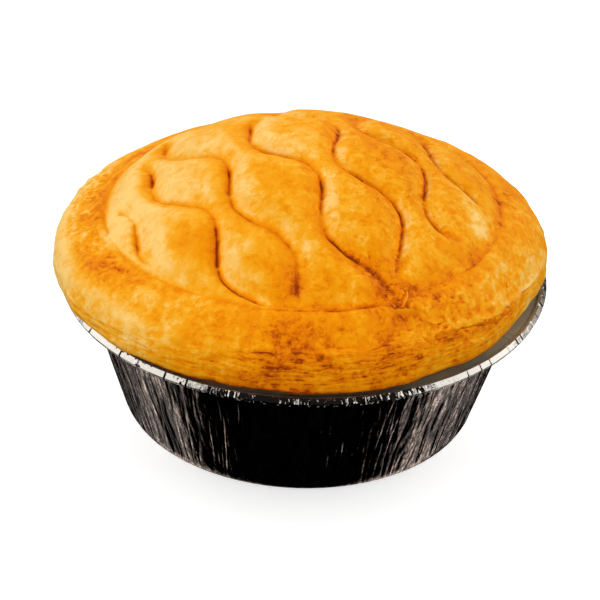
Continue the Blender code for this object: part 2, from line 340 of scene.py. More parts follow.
def pressed_lines(x, y):
    """Depth share of the pressed lines, closeness at the pillows' width, and the painted shade in their
    bottoms and on the flank beside them.
    """
    along, across = along_across(x, y, WAVE_HEADING)
    flat = np.stack([x, y, 0 * x], axis=1)
    wobble = 0.00028 * bumps(flat, 0.0034, 91) + 0.00007 * bumps(flat, 0.0011, 93)
    blotch = np.clip(1 + 0.9 * bumps(flat, 0.0024, 97), 0.5, 1.4)
    spread = mix(1.0, 2.0, smoothstep(-0.028, -0.042, x))
    line, groove_shade = np.zeros_like(x), np.zeros_like(x)
    level = np.ones_like(x)
    for wave in WAVES:
        here = np.clip(along, wave.start, wave.end)
        middle, steepness = wave_run(wave, here)
        run = wobble + (across - middle) / np.hypot(1, steepness)
        distance = np.hypot(run, along - here)
        kept = smoothstep(wave.start - GROOVE_FADE / 2, wave.start + GROOVE_FADE, along)
        kept *= 1 - smoothstep(wave.end - GROOVE_FADE, wave.end + GROOVE_FADE / 2, along)
        firm = kept * firmness(wave, here)
        line = np.maximum(line, mix(0.16, 1.0, firm) * kept * bell(distance, 0.0008))
        level = level * (1 - kept * bell(distance, PILLOW_WIDTH))
        # Painted shade in the bottom of each line, and beside it on the flank turned away from the left
        # lamp.
        groove_shade = np.maximum(groove_shade, firm * blotch * bell(distance, mix(0.0003, 0.00062, firm)))
        shaded_flank = np.hypot(run + SHADED_FLANK_OFFSET * spread, along - here)
        groove_shade = np.maximum(groove_shade, 0.30 * spread * firm * blotch * bell(shaded_flank, SHADED_FLANK_WIDTH * spread))
    return line, 1 - level, groove_shade


def edge_radius(azimuth):
    radius = EDGE_RADIUS + 0.0004 * bumps(around(azimuth), 0.009, 21)
    for centre, half_width, depth in EDGE_DENTS:
        radius = radius - depth * bell_at(azimuth, centre, half_width)
    return radius


def side_point(edge, angle):
    """Radius and height on the side: a quarter ellipse down to the edge, then the undercut."""
    upper = angle < math.pi / 2
    radius = edge - np.where(upper, SHOULDER_WIDTH, UNDERCUT) * (1 - np.sin(angle))
    return radius, EDGE_HEIGHT + np.where(upper, SHOULDER_RISE, UNDERCUT_DROP) * np.cos(angle)


def spaced(radius, height, shares):
    """Points at the given shares of a section's length."""
    steps = np.hypot(np.diff(radius), np.diff(height))
    length = np.concatenate(([0], np.cumsum(steps))) / steps.sum()
    return np.interp(shares, length, radius), np.interp(shares, length, height)


def seam_height(azimuth):
    return SEAM_LOW + SEAM_RISE * bell_at(azimuth, SEAM_AZIMUTH, SEAM_SPREAD)


def seam_presence(azimuth):
    """How open the seam is: widest at the front right, in broken lengths."""
    right = bell_at(azimuth, -38, 26)
    front = 0.16 * bell_at(azimuth, -92, 20)
    return (0.05 + 0.8 * right + front) * smoothstep(-0.35, 0.10, bumps(around(azimuth), 0.006, 37))


def lip_presence(azimuth):
    """How far the lid's edge stands over the side, which shows at the right."""
    return bell_at(azimuth, -24, 30)


def crust_sections(azimuths):
    """Radius and height of each row of the crust outside the ring, for each azimuth."""
    edges = edge_radius(azimuths)
    wobble = 0.0005 * bumps(around(azimuths), 0.006, 83) + 0.0004 * bumps(around(azimuths), 0.0024, 87)
    seam_heights = seam_height(azimuths) + wobble
    seams = np.arccos((seam_heights - EDGE_HEIGHT) / SHOULDER_RISE)
    depths = SEAM_DEPTH * seam_presence(azimuths) * (1 + 0.5 * bumps(around(azimuths), 0.012, 11))
    presses = RING_DEPTH * mix(0.15, 1.0, ring_presence(azimuths))
    moats = MOAT_DEPTH * leftness(azimuths)
    fine = np.linspace(0, 1, 40)
    rim_shares = np.linspace(0, 1, RIM_ROWS + 1)[1:]
    side_shares = np.linspace(0, 1, SIDE_ROWS)
    sections = []
    for azimuth, edge, seam, depth, press, moat in zip(azimuths, edges, seams, depths, presses, moats):
        ring = ring_radius(azimuth)
        shoulder_radius, shoulder_height = side_point(edge, SHOULDER_START)
        radius = mix(ring, shoulder_radius, fine[:-1])
        height = mix(RING_HEIGHT, shoulder_height, fine[:-1] ** RIM_CURVE)
        height = height - press * bell(radius - ring, RING_HALF_WIDTH)
        height = height - moat * bell(radius - ring - MOAT_OFFSET, MOAT_WIDTH)
        lip = side_point(edge, mix(SHOULDER_START, seam - SEAM_HALF_ANGLE, fine))
        top = spaced(np.append(radius, lip[0]), np.append(height, lip[1]), rim_shares)
        upper = side_point(edge, seam - SEAM_HALF_ANGLE * 0.4)
        lower = side_point(edge, seam + SEAM_HALF_ANGLE * 0.4)
        side = side_point(edge, mix(seam + SEAM_HALF_ANGLE, math.pi, fine))
        side = spaced(side[0], side[1], side_shares)
        radii = np.concatenate((top[0], [upper[0] - depth, lower[0] - depth], side[0]))
        heights = np.concatenate((top[1], [upper[1] - depth / 2, lower[1] - depth / 2], side[1]))
        sections.append((radii, heights))
    return np.array(sections)


def tilted(points):
    """Places in the tin's frame of points measured from the lid's centre."""
    share = smoothstep(EDGE_HEIGHT - UNDERCUT_DROP, RING_HEIGHT, points[:, 2])
    out = points.copy()
    out[:, 2] += LID_TILT * points[:, 0] * share
    out[:, 0] += LID_CENTRE[0]
    out[:, 1] += LID_CENTRE[1]
    return out


def leftness(azimuth):
    return bell_at(azimuth, -172, 48)


def ring_presence(azimuth):
    """How clearly the pressed ring shows, which is best at the front."""
    front = window_at(azimuth, -75, -8, 8, 3)
    back = bell_at(azimuth, 80, 50)
    left = 0.75 * bell_at(azimuth, -158, 34)
    shown = np.maximum.reduce([0.9 * front, left, mix(0.12, 0.4, back)])
    return shown * smoothstep(-0.6, 0.2, bumps(around(azimuth), 0.008, 29))


def from_lid(points):
    """Places x and y from the lid's centre, azimuths, and distances outside the ring."""
    x, y = points[:, 0] - LID_CENTRE[0], points[:, 1] - LID_CENTRE[1]
    azimuth = np.arctan2(y, x)
    return x, y, azimuth, np.hypot(x, y) - ring_radius(azimuth)


def disc_place(x, y):
    """A point of the square from -1 to 1, moved to its place on a disc of radius 1."""
    return x * np.sqrt(1 - y * y / 2), y * np.sqrt(1 - x * x / 2)


# Crust


def crust_blank():
    """A grid made round, refined along the pressed lines, its border extruded in rows down to the base."""
    deselect_all()
    bpy.ops.mesh.primitive_grid_add(x_subdivisions=DOME_CELLS, y_subdivisions=DOME_CELLS, size=2)
    crust = bpy.context.object
    crust.name = "pie_crust"
    points = places(crust)
    points[:, 0], points[:, 1] = disc_place(points[:, 0], points[:, 1])
    move_to(crust, points)
    stack_rows(RIM_ROWS + SEAM_ROWS + SIDE_ROWS + len(BODY_ROWS))
    refine_lines(crust)
    return crust


def face_middles(item):
    points = places(item)
    return np.array([points[list(face.vertices)].mean(axis=0) for face in item.data.polygons])


def cut_faces(item, chosen):
    """Cuts the chosen faces in four."""
    select_only(item)
    edit("DESELECT")
    bpy.ops.mesh.select_mode(type="FACE")
    stop_editing()
    item.data.polygons.foreach_set("select", chosen)
    bpy.ops.object.mode_set(mode="EDIT")
    bpy.ops.mesh.subdivide(number_cuts=1)
    stop_editing()


def refine_lines(crust):
    """Makes the mesh of the dome finer along the pressed lines."""
    middles = face_middles(crust)
    reach = ring_radius(np.arctan2(middles[:, 1], middles[:, 0]))
    x, y = middles[:, 0] * reach, middles[:, 1] * reach
    close = pressed_lines(x, y)[1] > bell(REFINED_WIDTH, PILLOW_WIDTH)
    from_ring = reach * (1 - np.hypot(middles[:, 0], middles[:, 1]))
    cut_faces(crust, (middles[:, 2] < ROW_STEP / 4) & (close | (from_ring < REFINED_WIDTH / 2)))


def refine_rim(crust):
    """Makes the mesh of the rim finer where its flakes show most."""
    middles = face_middles(crust)
    _, _, azimuth, outside = from_lid(middles)
    on_rim = (outside > 0.0003) & (middles[:, 2] > EDGE_HEIGHT + 0.002)
    flaky = np.zeros(len(middles), dtype=bool)
    for centre, half_width in FLAKY_PARTS:
        flaky |= np.abs(turn_difference(azimuth, math.radians(centre))) < math.radians(half_width)
    cut_faces(crust, on_rim & flaky)


def shape_crust(crust):
    """Moves the blank's points to their places, and keeps what the crust's tone and its painted shade need
    to know of each.
    """
    code = places(crust)
    rows = np.rint(code[:, 2] / ROW_STEP).astype(int)
    azimuth = np.arctan2(code[:, 1], code[:, 0])
    dome = rows == 0
    skirt = ~dome
    in_lid = rows <= RIM_ROWS + SEAM_ROWS + SIDE_ROWS
    points = np.zeros((len(code), 3))
    line, valley, leaf, seam = (np.zeros(len(code)) for _ in range(4))
    points[dome], line[dome], valley[dome] = dome_shape(code[dome], azimuth[dome])
    points[skirt], line[skirt], leaf[skirt], seam[skirt] = skirt_shape(rows[skirt] - 1, azimuth[skirt])
    points[in_lid] = tilted(points[in_lid])
    move_to(crust, points)
    front = bell_at(azimuth, -75, 52)
    streaked = smoothstep(RIM_ROWS - 6, RIM_ROWS + 6, rows)
    streaked = streaked * (1 - 0.6 * smoothstep(RIM_ROWS + 13, RIM_ROWS + 21, rows))
    keep_value(crust, "line", line)
    keep_value(crust, "valley", valley)
    keep_value(crust, "leaf", leaf)
    keep_value(crust, "seam", seam)
    keep_value(crust, "zone", np.select([dome, rows <= RIM_ROWS, in_lid], [DOME, RIM, SIDE], BODY))
    keep_value(crust, "side", streaked * mix(0.35, 1.0, front))


def dome_shape(code, azimuth):
    """Points of the dome inside the ring, the painted shade in its lines, and how far each point is in a
    valley.
    """
    reach = ring_radius(azimuth)
    share = np.hypot(code[:, 0], code[:, 1])
    x, y = code[:, 0] * reach, code[:, 1] * reach
    pressed, near, groove_shade = pressed_lines(x, y)
    from_ring = reach * (1 - share)
    ring_line = bell(from_ring, RING_HALF_WIDTH) * mix(0.15, 1.0, ring_presence(azimuth))
    ring_valley = bell(from_ring, PILLOW_WIDTH)
    groove = np.maximum(RING_DEPTH * ring_line, GROOVE_DEPTH * pressed)
    groove = groove + MOAT_DEPTH * leftness(azimuth) * bell(from_ring + MOAT_OFFSET, MOAT_WIDTH)
    hollow = 1 - (1 - near) * (1 - ring_valley)
    height = RING_HEIGHT + DOME_RISE * np.clip(1 - share ** 2, 0, 1) ** DOME_POWER
    height = height - groove + PILLOW_HEIGHT * (1 - hollow) - PILLOW_DROP * (1 - ring_valley)
    flat = np.stack([x, y, 0 * x], axis=1)
    height += 0.0005 * bumps(flat, 0.012, 0)
    height += 0.00018 * bumps(flat, 0.0045, 7)
    # Painted shade along the pressed ring.
    ring_shade = 0.5 * bell(from_ring, LINE_HALF_WIDTH) * ring_presence(azimuth)
    return np.stack([x, y, height], axis=1), np.maximum(groove_shade, ring_shade), hollow


def skirt_shape(row, azimuth):
    """Points of the rows outside the ring, the painted shade in the ring, and the shade of leaves and seam.
    """
    directions, which = np.unique(np.round(azimuth, 5), return_inverse=True)
    sections = crust_sections(directions)
    last = sections.shape[2]
    in_lid = row < last
    radius = np.zeros(row.size)
    height = np.zeros(row.size)
    radius[in_lid] = sections[which[in_lid], 0, row[in_lid]]
    height[in_lid] = sections[which[in_lid], 1, row[in_lid]]
    place_body(radius, height, row - last)
    bare = around(azimuth, radius, height)
    relief, leaf, seam = crust_relief(bare, row, azimuth)
    relief = relief * in_lid
    out, up = outward(row, last)
    # Painted shade along the pressed ring where the rim starts.
    ring_gap = np.hypot(bare[:, 0], bare[:, 1]) - ring_radius(azimuth)
    ring_shade = 0.5 * bell(ring_gap, LINE_HALF_WIDTH) * ring_presence(azimuth)
    points = around(azimuth, radius + relief * out, height + relief * up)
    return points, np.where(row < RIM_ROWS, ring_shade, 0), leaf, seam


def place_body(radius, height, number):
    """The rows of the pie inside the tin, and the centre of its bottom."""
    for k, (row_radius, row_height) in enumerate(BODY_ROWS):
        here = number == k
        radius[here], height[here] = row_radius, row_height
    end = number >= len(BODY_ROWS)
    radius[end], height[end] = 0.0, PIE_BOTTOM


def outward(row, last):
    """Direction of the relief in radius and height: up on the rim, outward on the side."""
    turn = smoothstep(RIM_ROWS * 0.45, RIM_ROWS + 4, row) * math.radians(84)
    turn = turn + smoothstep(last - 10, last, row) * math.radians(30)
    return np.sin(turn), np.cos(turn)


def crust_relief(points, row, azimuth):
    """Relief of the rim and side, with the shade of the gaps between the leaves and of the seam."""
    radius = np.hypot(points[:, 0], points[:, 1])
    unrolled = np.stack([azimuth * EDGE_RADIUS, radius, points[:, 2]], axis=1)
    on_rim = smoothstep(0, 5, row) * (1 - smoothstep(RIM_ROWS - 3, RIM_ROWS, row))
    on_side = smoothstep(RIM_ROWS + SEAM_ROWS, RIM_ROWS + 5, row)
    rim = RIM_UNEVENNESS * bumps(points, 0.007, 5)
    push, gap = leaves(points[:, 2], azimuth)
    side = LEAF_PUSH * push - LEAF_GAP * gap
    side = side + SIDE_ROUGHNESS * crags(unrolled, (0.0035, 0.0012, 0.0010), 61)
    side = side + SIDE_UNEVENNESS * bumps(points, 0.006, 17)
    lip_rows = smoothstep(RIM_ROWS - 5, RIM_ROWS - 1, row) * (row <= RIM_ROWS)
    relief = on_rim * rim + on_side * side + LIP_HEIGHT * lip_presence(azimuth) * lip_rows
    seam_rows = (row >= RIM_ROWS) & (row < RIM_ROWS + SEAM_ROWS)
    return relief, gap * on_side, seam_rows * seam_presence(azimuth)


def leaves(height, azimuth):
    """How far each leaf of the side stands out, and the gaps between them, which show at the front."""
    wander = 0.0014 * bumps(around(azimuth), 0.018, 51)
    wander = wander + 0.0004 * bumps(around(azimuth, height=height), 0.005, 53)
    count = (height + wander) / LEAF_PITCH
    leaf = np.floor(count)
    part = count - leaf
    spread = around(azimuth) / 0.007
    spread[:, 2] = leaf * 5.3
    push = np.array([noise.noise(Vector(p)) for p in spread])
    spread[:, 2] += 40
    shown = np.array([noise.noise(Vector(p)) for p in spread * 0.9])
    present = smoothstep(-0.05, 0.25, shown) * mix(0.12, 1.0, bell_at(azimuth, -80, 50))
    return push, bell(np.minimum(part, 1 - part), 0.15) * present


def rough_share(azimuth, outside):
    """How crumpled the crust is, from 0 to 1, by azimuth and distance outside the ring."""
    left = leftness(azimuth) * window(outside, 0.0010, 0.0090, 0.0012)
    back = bell_at(azimuth, 163, 16) * smoothstep(0.0, 0.002, outside)
    right = 0.6 * bell_at(azimuth, -5, 30) * smoothstep(0.0, 0.003, outside)
    crack = bell_at(azimuth, -63, 9) * window(outside, -0.0045, 0.0060, 0.0020)
    low = 0.95 * bell_at(azimuth, -48, 26) * smoothstep(0.001, 0.004, outside)
    rest = 0.30 * smoothstep(0.0, 0.003, outside)
    return np.maximum.reduce([left, back, right, crack, low, rest])


def crumpled(points, size, seed):
    """Sharp wandering crests in broken lengths, from 0 in the hollows to 1 on the crests."""
    sway = np.stack([crags(points, size * 0.8, seed + k, 2) for k in (1, 2, 3)], axis=1)
    crests = np.exp(-np.abs(bumps(points + size * 0.18 * sway, size, seed)) / 0.18)
    return crests * smoothstep(-0.25, 0.20, bumps(points, size * 1.3, seed + 5))


def fine_relief(crust):
    """Small relief, raised along the normals: crumpled pastry on the rim, dimples everywhere."""
    refine_rim(crust)
    points = places(crust)
    x, _, azimuth, outside = from_lid(points)
    lid = smoothstep(EDGE_HEIGHT - 0.001, EDGE_HEIGHT + 0.003, points[:, 2])
    rough = rough_share(azimuth, outside) * lid
    crest = np.maximum(crumpled(points, 0.0056, 41), 0.7 * crumpled(points, 0.0032, 45))
    sharp = crest * rough ** 1.5
    relief = CREST_HEIGHT * sharp + mix(0.00005, 0.00024, rough) * crags(points, 0.0034, 31, 3)
    side = smoothstep(0.1, 0.5, value_of(crust, "side"))
    on_rim = smoothstep(-0.006, 0.0005, outside)
    height = relief * on_rim * lid * (1 - 0.75 * side)
    move_to(crust, points + surface_normals(crust) * height[:, None])
    # Crests of the crumpled pastry, which the material paints paler as a painted highlight.
    keep_value(crust, "crest", sharp * on_rim)
    dome_grain = 0.15 + 0.60 * smoothstep(-0.03, 0.03, x)
    grain = np.maximum(rough, np.where(outside < 0, dome_grain, 0.60))
    smooth_roll = leftness(azimuth) * smoothstep(0.0085, 0.0110, outside)
    coarse = 0.40 * leftness(azimuth) * smoothstep(0.0, 0.002, outside)
    keep_value(crust, "grain", grain * (1 - 0.7 * smooth_roll) * (1 - coarse))


def value_of(item, name):
    values = np.zeros(len(item.data.vertices), dtype=np.float32)
    item.data.attributes[name].data.foreach_get("value", values)
    return values


# Materials


def new_material(name, roughness, metallic=0.0):
    material = bpy.data.materials.new(name)
    material.use_nodes = True
    shader = material.node_tree.nodes["Principled BSDF"]
    shader.inputs["Roughness"].default_value = roughness
    shader.inputs["Metallic"].default_value = metallic
    return material, material.node_tree, shader


def add_node(tree, kind, inputs=None, **settings):
    node = tree.nodes.new(kind)
    for key, value in settings.items():
        setattr(node, key, value)
    for key, value in (inputs or {}).items():
        if isinstance(value, bpy.types.NodeSocket):
            tree.links.new(value, node.inputs[key])
        else:
            node.inputs[key].default_value = value
    return node


def noise_texture(tree, vector, scale, detail, roughness=0.5, distortion=0.0):
    values = {"Vector": vector, "Scale": scale, "Detail": detail}
    values.update({"Roughness": roughness, "Distortion": distortion})
    return add_node(tree, "ShaderNodeTexNoise", values).outputs["Fac"]


def math_node(tree, operation, *values):
    return add_node(tree, "ShaderNodeMath", dict(enumerate(values)), operation=operation).outputs[0]


def times(tree, a, b):
    return math_node(tree, "MULTIPLY", a, b)


def plus(tree, first, *others):
    total = first
    for other in others:
        total = math_node(tree, "ADD", total, other)
    return total


def less(tree, a, b):
    return math_node(tree, "SUBTRACT", a, b)


def map_range(tree, value, low, high, to_low=0.0, to_high=1.0):
    values = {"Value": value, "From Min": low, "From Max": high, "To Min": to_low, "To Max": to_high}
    return add_node(tree, "ShaderNodeMapRange", values).outputs["Result"]


def mix_to_one(tree, value, share):
    """The value where the share is 0, and 1 where the share is 0.5 or more."""
    kept = map_range(tree, share, 0.0, 0.5, 1.0, 0.0)
    return plus(tree, 1.0, times(tree, less(tree, value, 1.0), kept))


def attribute(tree, name):
    return add_node(tree, "ShaderNodeAttribute", attribute_name=name).outputs["Fac"]


def ramp(tree, value, stops):
    node = add_node(tree, "ShaderNodeValToRGB", {"Fac": value})
    elements = node.color_ramp.elements
    while len(elements) < len(stops):
        elements.new(0.5)
    for element, (position, colour) in zip(elements, stops):
        element.position = position
        element.color = (*colour, 1)
    return node.outputs["Color"]


BAKED_COLOURS = (
    (0.00, (0.98, 0.630, 0.185)),
    (0.25, (0.94, 0.430, 0.027)),
    (0.36, (0.92, 0.372, 0.009)),
    (0.50, (0.89, 0.302, 0.002)),
    (0.70, (0.80, 0.212, 0.002)),
    (0.85, (0.60, 0.115, 0.002)),
    (1.00, (0.30, 0.044, 0.002)),
)


def pastry_material():
    material, tree, shader = new_material("golden_pastry", 0.52)
    place = add_node(tree, "ShaderNodeTexCoord").outputs["Object"]
    flat = add_node(tree, "ShaderNodeMapping", {"Vector": place, "Scale": (1, 1, 6)}).outputs["Vector"]
    side = attribute(tree, "side")
    grain = attribute(tree, "grain")
    tone = plus(
        tree,
        attribute(tree, "browning_and_painted_light"),
        map_range(tree, noise_texture(tree, place, 85, 4, 0.55, 0.3), 0.43, 0.57, -0.045, 0.045),
        times(tree, pastry_strokes(tree, place), 0.7),
        times(tree, pastry_mottling(tree, place, side), map_range(tree, grain, 0.0, 1.0, 0.50, 1.65)),
        times(tree, pastry_streaks(tree, flat), side),
        # Painted shade in the pressed lines and the ring, the gaps between the leaves and the seam; painted
        # highlight on the crests.
        times(tree, attribute(tree, "line"), 0.38),
        times(tree, attribute(tree, "crest"), -0.24),
        times(tree, attribute(tree, "leaf"), 0.07),
        times(tree, attribute(tree, "seam"), 0.18),
    )
    tree.links.new(ramp(tree, tone, BAKED_COLOURS), shader.inputs["Base Color"])
    shader.inputs["Specular IOR Level"].default_value = 0.02
    relief = pastry_grain(tree, place, flat, side, grain)
    bump = add_node(tree, "ShaderNodeBump", {"Height": relief, "Distance": 0.00042, "Strength": 0.55})
    tree.links.new(bump.outputs["Normal"], shader.inputs["Normal"])
    return material


def pastry_strokes(tree, place):
    """Thin brown strokes, in some places only."""
    bend = math_node(tree, "ABSOLUTE", less(tree, noise_texture(tree, place, 170, 2, 0.5, 0.5), 0.5))
    strokes = map_range(tree, bend, 0.0, 0.014, 0.10, 0.0)
    return times(tree, strokes, map_range(tree, noise_texture(tree, place, 110, 2), 0.48, 0.56))


def pastry_mottling(tree, place, side):
    """Small patches, dark and pale flecks, and spots, of which the side has fewer."""
    patches = map_range(tree, noise_texture(tree, place, 190, 3, 0.6, 0.2), 0.485, 0.505, -0.045, 0.040)
    flecks = map_range(tree, noise_texture(tree, place, 430, 2, 0.6, 0.2), 0.545, 0.57, -0.015, 0.075)
    pale = map_range(tree, noise_texture(tree, place, 370, 2, 0.6, 0.3), 0.56, 0.59, 0.0, -0.08)
    spots = map_range(tree, noise_texture(tree, place, 300, 4, 0.65, 0.6), 0.57, 0.66, 0.0, 0.14)
    spots = times(tree, spots, map_range(tree, side, 0.0, 1.0, 1.0, 0.25))
    return plus(tree, patches, flecks, pale, spots)


def pastry_streaks(tree, flat):
    """Streaks along the layers of the side."""
    broad = map_range(tree, noise_texture(tree, flat, 150, 5, 0.62), 0.40, 0.60, -0.08, 0.09)
    thin = map_range(tree, noise_texture(tree, flat, 230, 2, 0.6, 0.3), 0.53, 0.555, -0.04, 0.12)
    return plus(tree, broad, thin)


def pastry_grain(tree, place, flat, side, grain):
    """Height of the fine grain, of the coarser one, and of the thin layers of the side."""
    fine = times(tree, noise_texture(tree, place, 900, 5, 0.6), map_range(tree, grain, 0.0, 1.0, 0.1, 0.5))
    coarse = times(tree, noise_texture(tree, place, 260, 2, 0.6), 1.2)
    layers = times(tree, noise_texture(tree, flat, 160, 4, 0.6), times(tree, side, 3.0))
    return plus(tree, fine, coarse, layers)


# Patches painted darker or paler, partly uneven baking and partly painted light and shade: place and half
# lengths in millimetres, turn in degrees.
Patch = namedtuple("Patch", "x y long short turn strength")
PATCHES = (
    Patch(-28, -31, 8, 5, -50, 0.20),
    Patch(-8, -19, 11, 5, -60, 0.14),
    Patch(-9, -34, 8, 5, -60, 0.10),
    Patch(-3, -47, 5, 2.5, 0, 0.28),
    Patch(3, -43, 15, 4.5, 0, 0.16),
    Patch(22, -43, 4, 3, -60, 0.06),
    Patch(-3, -62, 7, 1.5, 0, 0.24),
    Patch(17, 2, 14, 8, -50, 0.18),
    Patch(34, -40, 8, 5, 30, 0.12),
    Patch(-56, -16, 22, 4, -75, 0.10),
    Patch(-66, -14, 24, 3.5, -80, -0.14),
    Patch(22, -44, 9, 5, -60, 0.30),
    Patch(62, -18, 16, 6, 70, -0.23),
    Patch(-45, -16, 9, 7, -70, -0.16),
    Patch(-29, -30, 6, 4, -60, 0.12),
    Patch(45, -14, 6, 4, -60, -0.23),
    Patch(-3, -1, 9, 5, -30, -0.10),
    Patch(0, -56, 14, 4, 0, 0.14),
    Patch(-49, -17, 9, 5, -70, -0.32),
    Patch(-38, -25, 8, 4, -60, -0.14),
    Patch(-19, -27, 6, 4, -60, 0.14),
    Patch(-30, -46, 12, 5, -20, -0.14),
    Patch(46, -12, 12, 4, -70, -0.20),
    Patch(-52, -29, 8, 5, -60, 0.16),
    Patch(40, -50, 7, 4, 30, -0.06),
)


def hollows(crust):
    """How far each point lies below the mean of its neighbours, in widening circles."""
    points = places(crust)
    edges = np.zeros(len(crust.data.edges) * 2, dtype=np.int32)
    crust.data.edges.foreach_get("vertices", edges)
    a, b = edges.reshape(-1, 2).T
    count = np.bincount(a, minlength=len(points)) + np.bincount(b, minlength=len(points))
    mean = points
    for _ in range(HOLLOW_SMOOTHINGS):
        total = np.zeros_like(points)
        np.add.at(total, a, mean[b])
        np.add.at(total, b, mean[a])
        mean = total / np.maximum(count, 1)[:, None]
    return np.sum((mean - points) * surface_normals(crust), axis=1)


def browning_and_painted_light(crust):
    """Tone of each point of the crust, from 0 for cream to 1 for dark brown: uneven baking, with painted
    light and shade mixed in.
    """
    points = places(crust)
    facing = surface_normals(crust)[:, 0]
    zone = np.rint(value_of(crust, "zone"))
    on_lid = zone < BODY
    x, y, azimuth, outside = from_lid(points)
    tone = np.select([zone == DOME, on_lid], [0.455, 0.52], 0.75)
    # Paler on the pillows' tops and darker towards the lines between them: painted shade in the valleys.
    tone = tone - 0.08 * (1 - value_of(crust, "valley")) * (zone == DOME)
    tone = tone + 0.05 * bumps(points, 0.014, 71)
    # Painted shade in the hollows, and a painted highlight on the rises.
    tone = tone + np.clip(hollows(crust) / HOLLOW_SHADE_DEPTH, -0.08, 0.14) * on_lid
    # Painted shade at the dome's foot on the left, where the rim meets it.
    foot = smoothstep(0.0004, 0.0010, outside) * (1 - smoothstep(0.0020, 0.0060, outside))
    foot = foot * leftness(azimuth)
    strip = window(outside, 0.0010, 0.0085, 0.0012) * bell_at(azimuth, -150, 14)
    # Painted highlight of the left lamp on faces turned towards it, weaker on the foot and on the strip at
    # the left.
    lit = 0.25 * smoothstep(0.05, 0.60, -facing) * on_lid
    tone = tone + 0.17 * foot - lit * (1 - 0.8 * np.maximum(foot, strip))
    # Painted shade on dome slopes turned away from the left lamp, and a painted highlight of the right lamp
    # on faces turned steeply towards it.
    tone = tone + 0.12 * smoothstep(0.05, 0.40, facing) * (zone == DOME)
    tone = tone - 0.10 * smoothstep(0.50, 0.90, facing) * on_lid
    # Painted highlight on the outer roll at the left; darker along the ring at the right.
    roll_highlight = smoothstep(0.0084, 0.0108, outside + 0.0012 * bumps(points, 0.006, 75)) * on_lid
    ring_valley = bell(outside - 0.0006, 0.0022)
    tone = tone - 0.15 * roll_highlight * leftness(azimuth) + 0.10 * ring_valley * bell_at(azimuth, 0, 40)
    tone = tone + side_tone_and_painted_light(points, azimuth, zone) + patch_tone_and_painted_light(points, x / MM, y / MM)
    return np.clip(tone, 0, 1)


def side_tone_and_painted_light(points, azimuth, zone):
    """Tone of the rim and side: painted shade at the front and under the lid's overhang, a darker broken
    band below the seam, painted shade in the seam, and painted shade under the lid's edge with a painted
    highlight on it.
    """
    # Painted shade at the front, which gets the least light.
    front = bell_at(azimuth, -88, 48)
    on_lid = zone < BODY
    # Painted shade on the underside below the lid's edge.
    lip = smoothstep(EDGE_HEIGHT - 0.0002, EDGE_HEIGHT - UNDERCUT_DROP, points[:, 2]) * (zone == SIDE)
    below_seam = points[:, 2] - seam_height(azimuth)
    ragged = smoothstep(-0.2, 0.35, crags(points, 0.0050, 101))
    band = (0.16 + 0.06 * ragged) * bell_at(azimuth, -62, 38) * bell(below_seam + 0.0015, 0.0022)
    # Painted shade in the seam and under the lid's edge where it stands out, with a painted highlight just
    # above.
    fold = 0.26 * seam_presence(azimuth) * bell(below_seam, 0.0008)
    shaded = bell(below_seam + 0.0009, 0.0010) - bell(below_seam - 0.0009, 0.0007)
    fold = fold + 0.10 * lip_presence(azimuth) * shaded
    tone = 0.07 * front * (zone >= RIM) + 0.40 * lip + (band + fold) * (zone >= RIM) * on_lid
    return tone + 0.14 * front * smoothstep(-0.0015, -0.0050, below_seam) * on_lid


def patch_tone_and_painted_light(points, x, y):
    """Darker and paler single patches with ragged edges, partly uneven baking and partly painted light and
    shade; x and y in millimetres.
    """
    ragged_x = x + 2.2 * crags(points, 0.006, 83)
    ragged_y = y + 2.2 * crags(points, 0.006, 93)
    tone = np.zeros_like(x)
    for patch in PATCHES:
        turn = math.radians(patch.turn)
        along, across = along_across(ragged_x - patch.x, ragged_y - patch.y, turn)
        tone = tone + patch.strength * bell(np.hypot(along / patch.long, across / patch.short), 1.0)
    return tone


# Loose flakes that stand up from the rim and the side

FlakeZone = namedtuple("FlakeZone", "count start end inner outer size lift seed")
# Azimuths in degrees; distances outside the ring, sizes and lifts in millimetres.
RIM_FLAKES = (
    FlakeZone(16, -188, -140, 1.0, 7.5, 1.8, 0.18, 1),
    FlakeZone(12, -70, -56, -3.5, 3.0, 1.3, 0.30, 3),
    FlakeZone(14, -36, 24, 2.0, 10.0, 1.6, 0.16, 4),
)
SIDE_FLAKES = (
    FlakeZone(26, -64, -20, -0.6, 0.8, 1.6, 0.26, 6),
    FlakeZone(26, -105, -45, -4.5, -0.5, 1.3, 0.14, 7),
)
# Single flakes at the end of a pressed line: the two half lengths and the lift in millimetres, and how much
# painted highlight the lifted edge gets.
LoneFlake = namedtuple("LoneFlake", "x y turn short long lift pale")
LONE_FLAKES = (
    LoneFlake(25.8, -45.4, -8, 0.9, 3.0, 1.1, 0.70),
    LoneFlake(26.6, -49.0, 100, 1.0, 3.4, 0.80, 0.30),
    LoneFlake(21.5, -47.5, 120, 0.7, 1.6, 0.40, 0.10),
    LoneFlake(47.0, -40.0, -40, 0.9, 2.6, 0.45, 0.06),
    LoneFlake(34.0, -47.5, -60, 0.9, 2.8, 0.45, 0.06),
)
FLAKE_THICKNESS = 0.00016
FLAKE_SINK = 0.00022
FAR_AWAY = 0.1
FlakeSpot = namedtuple("FlakeSpot", "place normal free lengths lift pale")


def flake_blanks(count):
    """Small round blanks in one mesh, and the points of one of them."""
    deselect_all()
    bpy.ops.mesh.primitive_ico_sphere_add(subdivisions=2, radius=1)
    flakes = bpy.context.object
    flakes.name = "pastry_flakes"
    blank = places(flakes)
    row = flakes.modifiers.new("row", "ARRAY")
    row.count = count
    row.relative_offset_displace = (2, 0, 0)
    select_only(flakes)
    bpy.ops.object.modifier_apply(modifier=row.name)
    return flakes, blank


